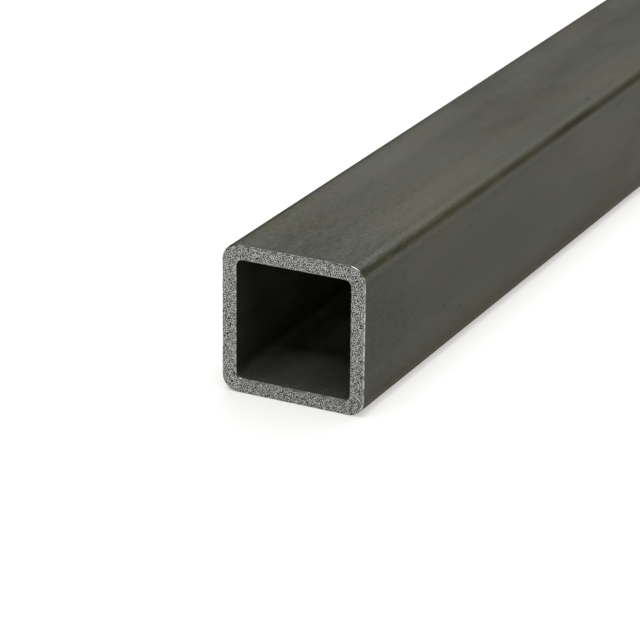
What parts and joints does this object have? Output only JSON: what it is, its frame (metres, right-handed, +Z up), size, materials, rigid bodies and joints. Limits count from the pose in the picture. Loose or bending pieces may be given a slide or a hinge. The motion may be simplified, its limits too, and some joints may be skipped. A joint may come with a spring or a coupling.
{
  "type": "square metal tube",
  "caption": "Straight length of square steel tube with rounded corners, dark mill-scale faces, an open square hollow right through and bare sawn ends.",
  "frame": {"origin": "on the surface the tube lies on, at mid-length and mid-width", "axes": "+X along the tube, towards the far sawn end; +Y across its width; +Z up, away from the face it lies on"},
  "size_m": [1, 0.04, 0.04],
  "materials": {
    "scaled_steel": "dark grey mill scale as rolled, lightly oiled, with faint lengthwise rolling marks and slight rust tints; the sawn ends are bare grey metal"
  },
  "bodies": {
    "root": {"square_tube": "scaled_steel"}
  },
  "joints": []
}
